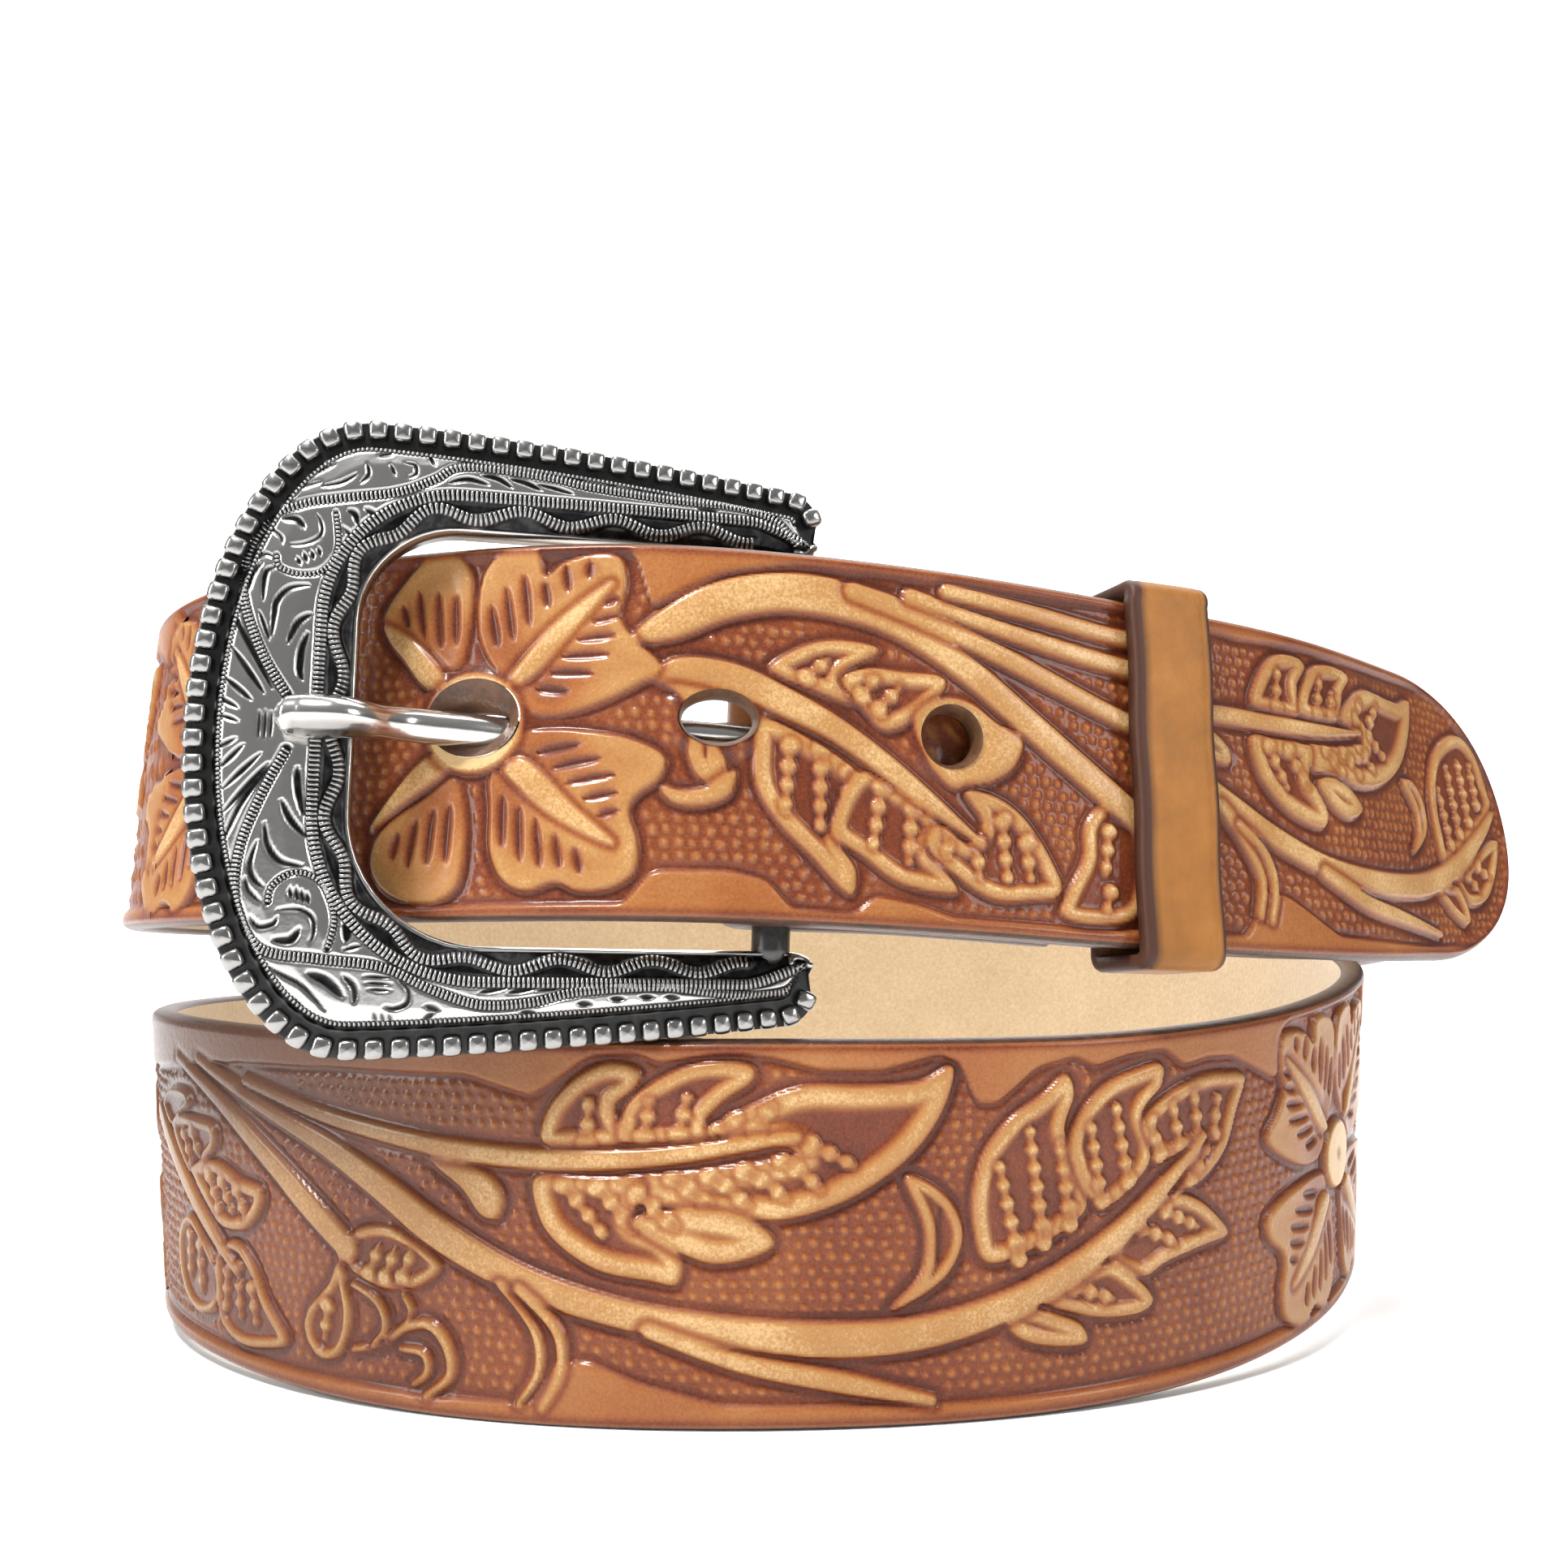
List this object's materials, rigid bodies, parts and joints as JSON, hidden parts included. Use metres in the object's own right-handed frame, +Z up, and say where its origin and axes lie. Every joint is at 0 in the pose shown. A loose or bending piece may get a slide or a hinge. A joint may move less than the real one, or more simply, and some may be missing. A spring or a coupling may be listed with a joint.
{
  "type": "western tooled belt",
  "caption": "Floral-tooled leather belt fastened through a horseshoe western buckle, standing on its lower edge in two turns, tip through a plain keeper",
  "frame": {"origin": "on the resting surface, under the middle of the belt's box", "axes": "+Z up from the resting surface; -Y is the front, where the buckle faces; +X is the wearer-side right of the front view, where the tip points"},
  "size_m": [0.1882, 0.1848, 0.0991],
  "materials": {
    "tooled_leather": "veg-tan leather, carved and stamped, antiqued dark in the cuts, waxed grain side, pale flesh side, dark burnished edges",
    "plain_leather": "smooth tan leather with dark burnished edges",
    "antique_silver": "cast zinc alloy, antique silver plate, polished highs and black recesses",
    "bright_silver": "polished silver plate",
    "stud_metal": "plain nickelled steel"
  },
  "bodies": {
    "root": {"strap": "tooled_leather", "buckle_frame": "antique_silver", "prong": "bright_silver", "keeper": "plain_leather", "fold_stud_1": "stud_metal", "fold_stud_2": "stud_metal"}
  },
  "joints": []
}
